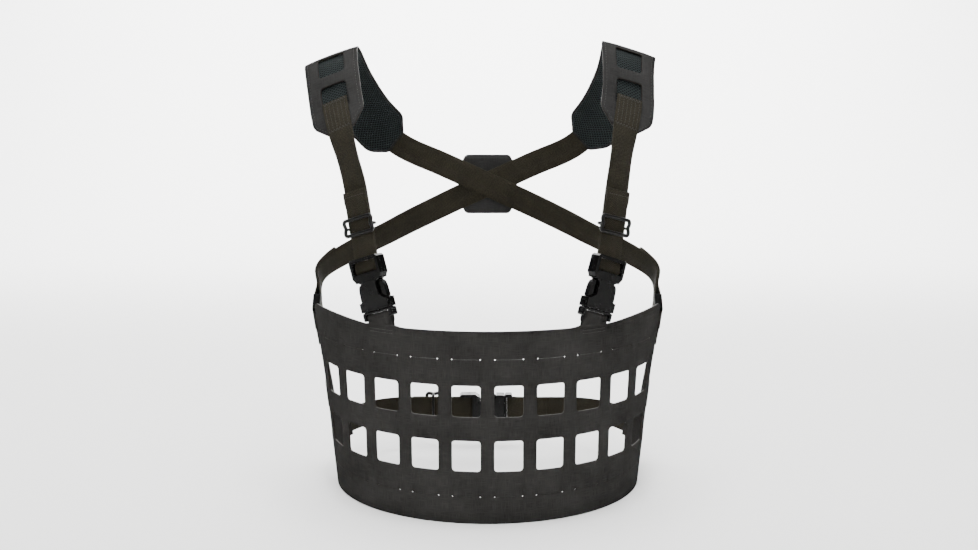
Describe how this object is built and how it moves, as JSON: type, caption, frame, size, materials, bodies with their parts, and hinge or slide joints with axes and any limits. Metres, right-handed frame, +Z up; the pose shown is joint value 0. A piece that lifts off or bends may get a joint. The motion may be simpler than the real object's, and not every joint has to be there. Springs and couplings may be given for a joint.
{
  "type": "chest harness vest",
  "caption": "Laser-cut chest harness vest: bent laminate panel with rows of square windows, buckled shoulder straps with pads, and a waist strap.",
  "frame": {"origin": "on the torso's axis, level with the panel's bottom edge", "axes": "+Z up, the front of the vest faces -Y, +X is the wearer's left"},
  "size_m": [0.3514, 0.2297, 0.4296],
  "materials": {
    "panel_laminate": "matt woven laminate",
    "pad_laminate": "matt woven laminate",
    "spacer_mesh": "open knitted mesh",
    "webbing": "woven nylon",
    "buckle_plastic": "moulded, glossy",
    "slider_plastic": "moulded, satin"
  },
  "bodies": {
    "vest": {"front_panel": "panel_laminate", "right_buckle_body": "buckle_plastic", "right_buckle_base": "buckle_plastic", "right_ladder_lock": "slider_plastic", "right_front_webbing": "webbing", "right_pad_cover": "pad_laminate", "right_pad_mesh": "spacer_mesh", "right_rear_webbing": "webbing", "left_buckle_body": "buckle_plastic", "left_buckle_base": "buckle_plastic", "left_ladder_lock": "slider_plastic", "left_front_webbing": "webbing", "left_pad_cover": "pad_laminate", "left_pad_mesh": "spacer_mesh", "left_rear_webbing": "webbing", "back_cross_patch": "pad_laminate", "waist_buckle_body": "buckle_plastic", "waist_buckle_base": "buckle_plastic", "waist_webbing_left": "webbing", "waist_webbing_right": "webbing"},
    "right_prong_a": {"right_prong_a": "buckle_plastic"},
    "right_prong_b": {"right_prong_b": "buckle_plastic"},
    "right_slider": {"right_slider": "slider_plastic"},
    "left_prong_a": {"left_prong_a": "buckle_plastic"},
    "left_prong_b": {"left_prong_b": "buckle_plastic"},
    "left_slider": {"left_slider": "slider_plastic"},
    "waist_prong_a": {"waist_prong_a": "buckle_plastic"},
    "waist_prong_b": {"waist_prong_b": "buckle_plastic"},
    "waist_slider": {"waist_slider": "slider_plastic"}
  },
  "joints": [
    {"name": "right_prong_a_squeeze", "type": "hinge", "parent": "vest", "child": "right_prong_a", "pos_m": [-0.08947, -0.11119, 0.19632], "axis": [-0.5399, -0.841, 0.0349], "range_deg": [0, 11], "stiffness_Nm_per_rad": 0.5},
    {"name": "right_prong_b_squeeze", "type": "hinge", "parent": "vest", "child": "right_prong_b", "pos_m": [-0.1055, -0.10117, 0.18982], "axis": [0.5399, 0.841, -0.0349], "range_deg": [0, 11], "stiffness_Nm_per_rad": 0.5},
    {"name": "right_slider_travel", "type": "slide", "parent": "vest", "child": "right_slider", "axis": [-0.1724, 0.288, 0.942], "range_m": [-0.015, 0.012]},
    {"name": "left_prong_a_squeeze", "type": "hinge", "parent": "vest", "child": "left_prong_a", "pos_m": [0.1055, -0.10117, 0.18982], "axis": [0.5399, -0.841, 0.0349], "range_deg": [0, 11], "stiffness_Nm_per_rad": 0.5},
    {"name": "left_prong_b_squeeze", "type": "hinge", "parent": "vest", "child": "left_prong_b", "pos_m": [0.08947, -0.11119, 0.19632], "axis": [-0.5399, 0.841, -0.0349], "range_deg": [0, 11], "stiffness_Nm_per_rad": 0.5},
    {"name": "left_slider_travel", "type": "slide", "parent": "vest", "child": "left_slider", "axis": [0.1362, 0.267, 0.954], "range_m": [-0.015, 0.012]},
    {"name": "waist_prong_a_squeeze", "type": "hinge", "parent": "vest", "child": "waist_prong_a", "pos_m": [0.01675, 0.076, 0.032], "axis": [0, 1, 0], "range_deg": [0, 11], "stiffness_Nm_per_rad": 0.5},
    {"name": "waist_prong_b_squeeze", "type": "hinge", "parent": "vest", "child": "waist_prong_b", "pos_m": [0.01675, 0.076, 0.052], "axis": [0, -1, 0], "range_deg": [0, 11], "stiffness_Nm_per_rad": 0.5},
    {"name": "waist_slider_travel", "type": "slide", "parent": "vest", "child": "waist_slider", "axis": [-1, 0, 0], "range_m": [-0.015, 0.012]}
  ],
  "couplings": [
    {"joint": "right_prong_b_squeeze", "follows": "right_prong_a_squeeze", "ratio": 1},
    {"joint": "left_prong_b_squeeze", "follows": "left_prong_a_squeeze", "ratio": 1},
    {"joint": "waist_prong_b_squeeze", "follows": "waist_prong_a_squeeze", "ratio": 1}
  ]
}
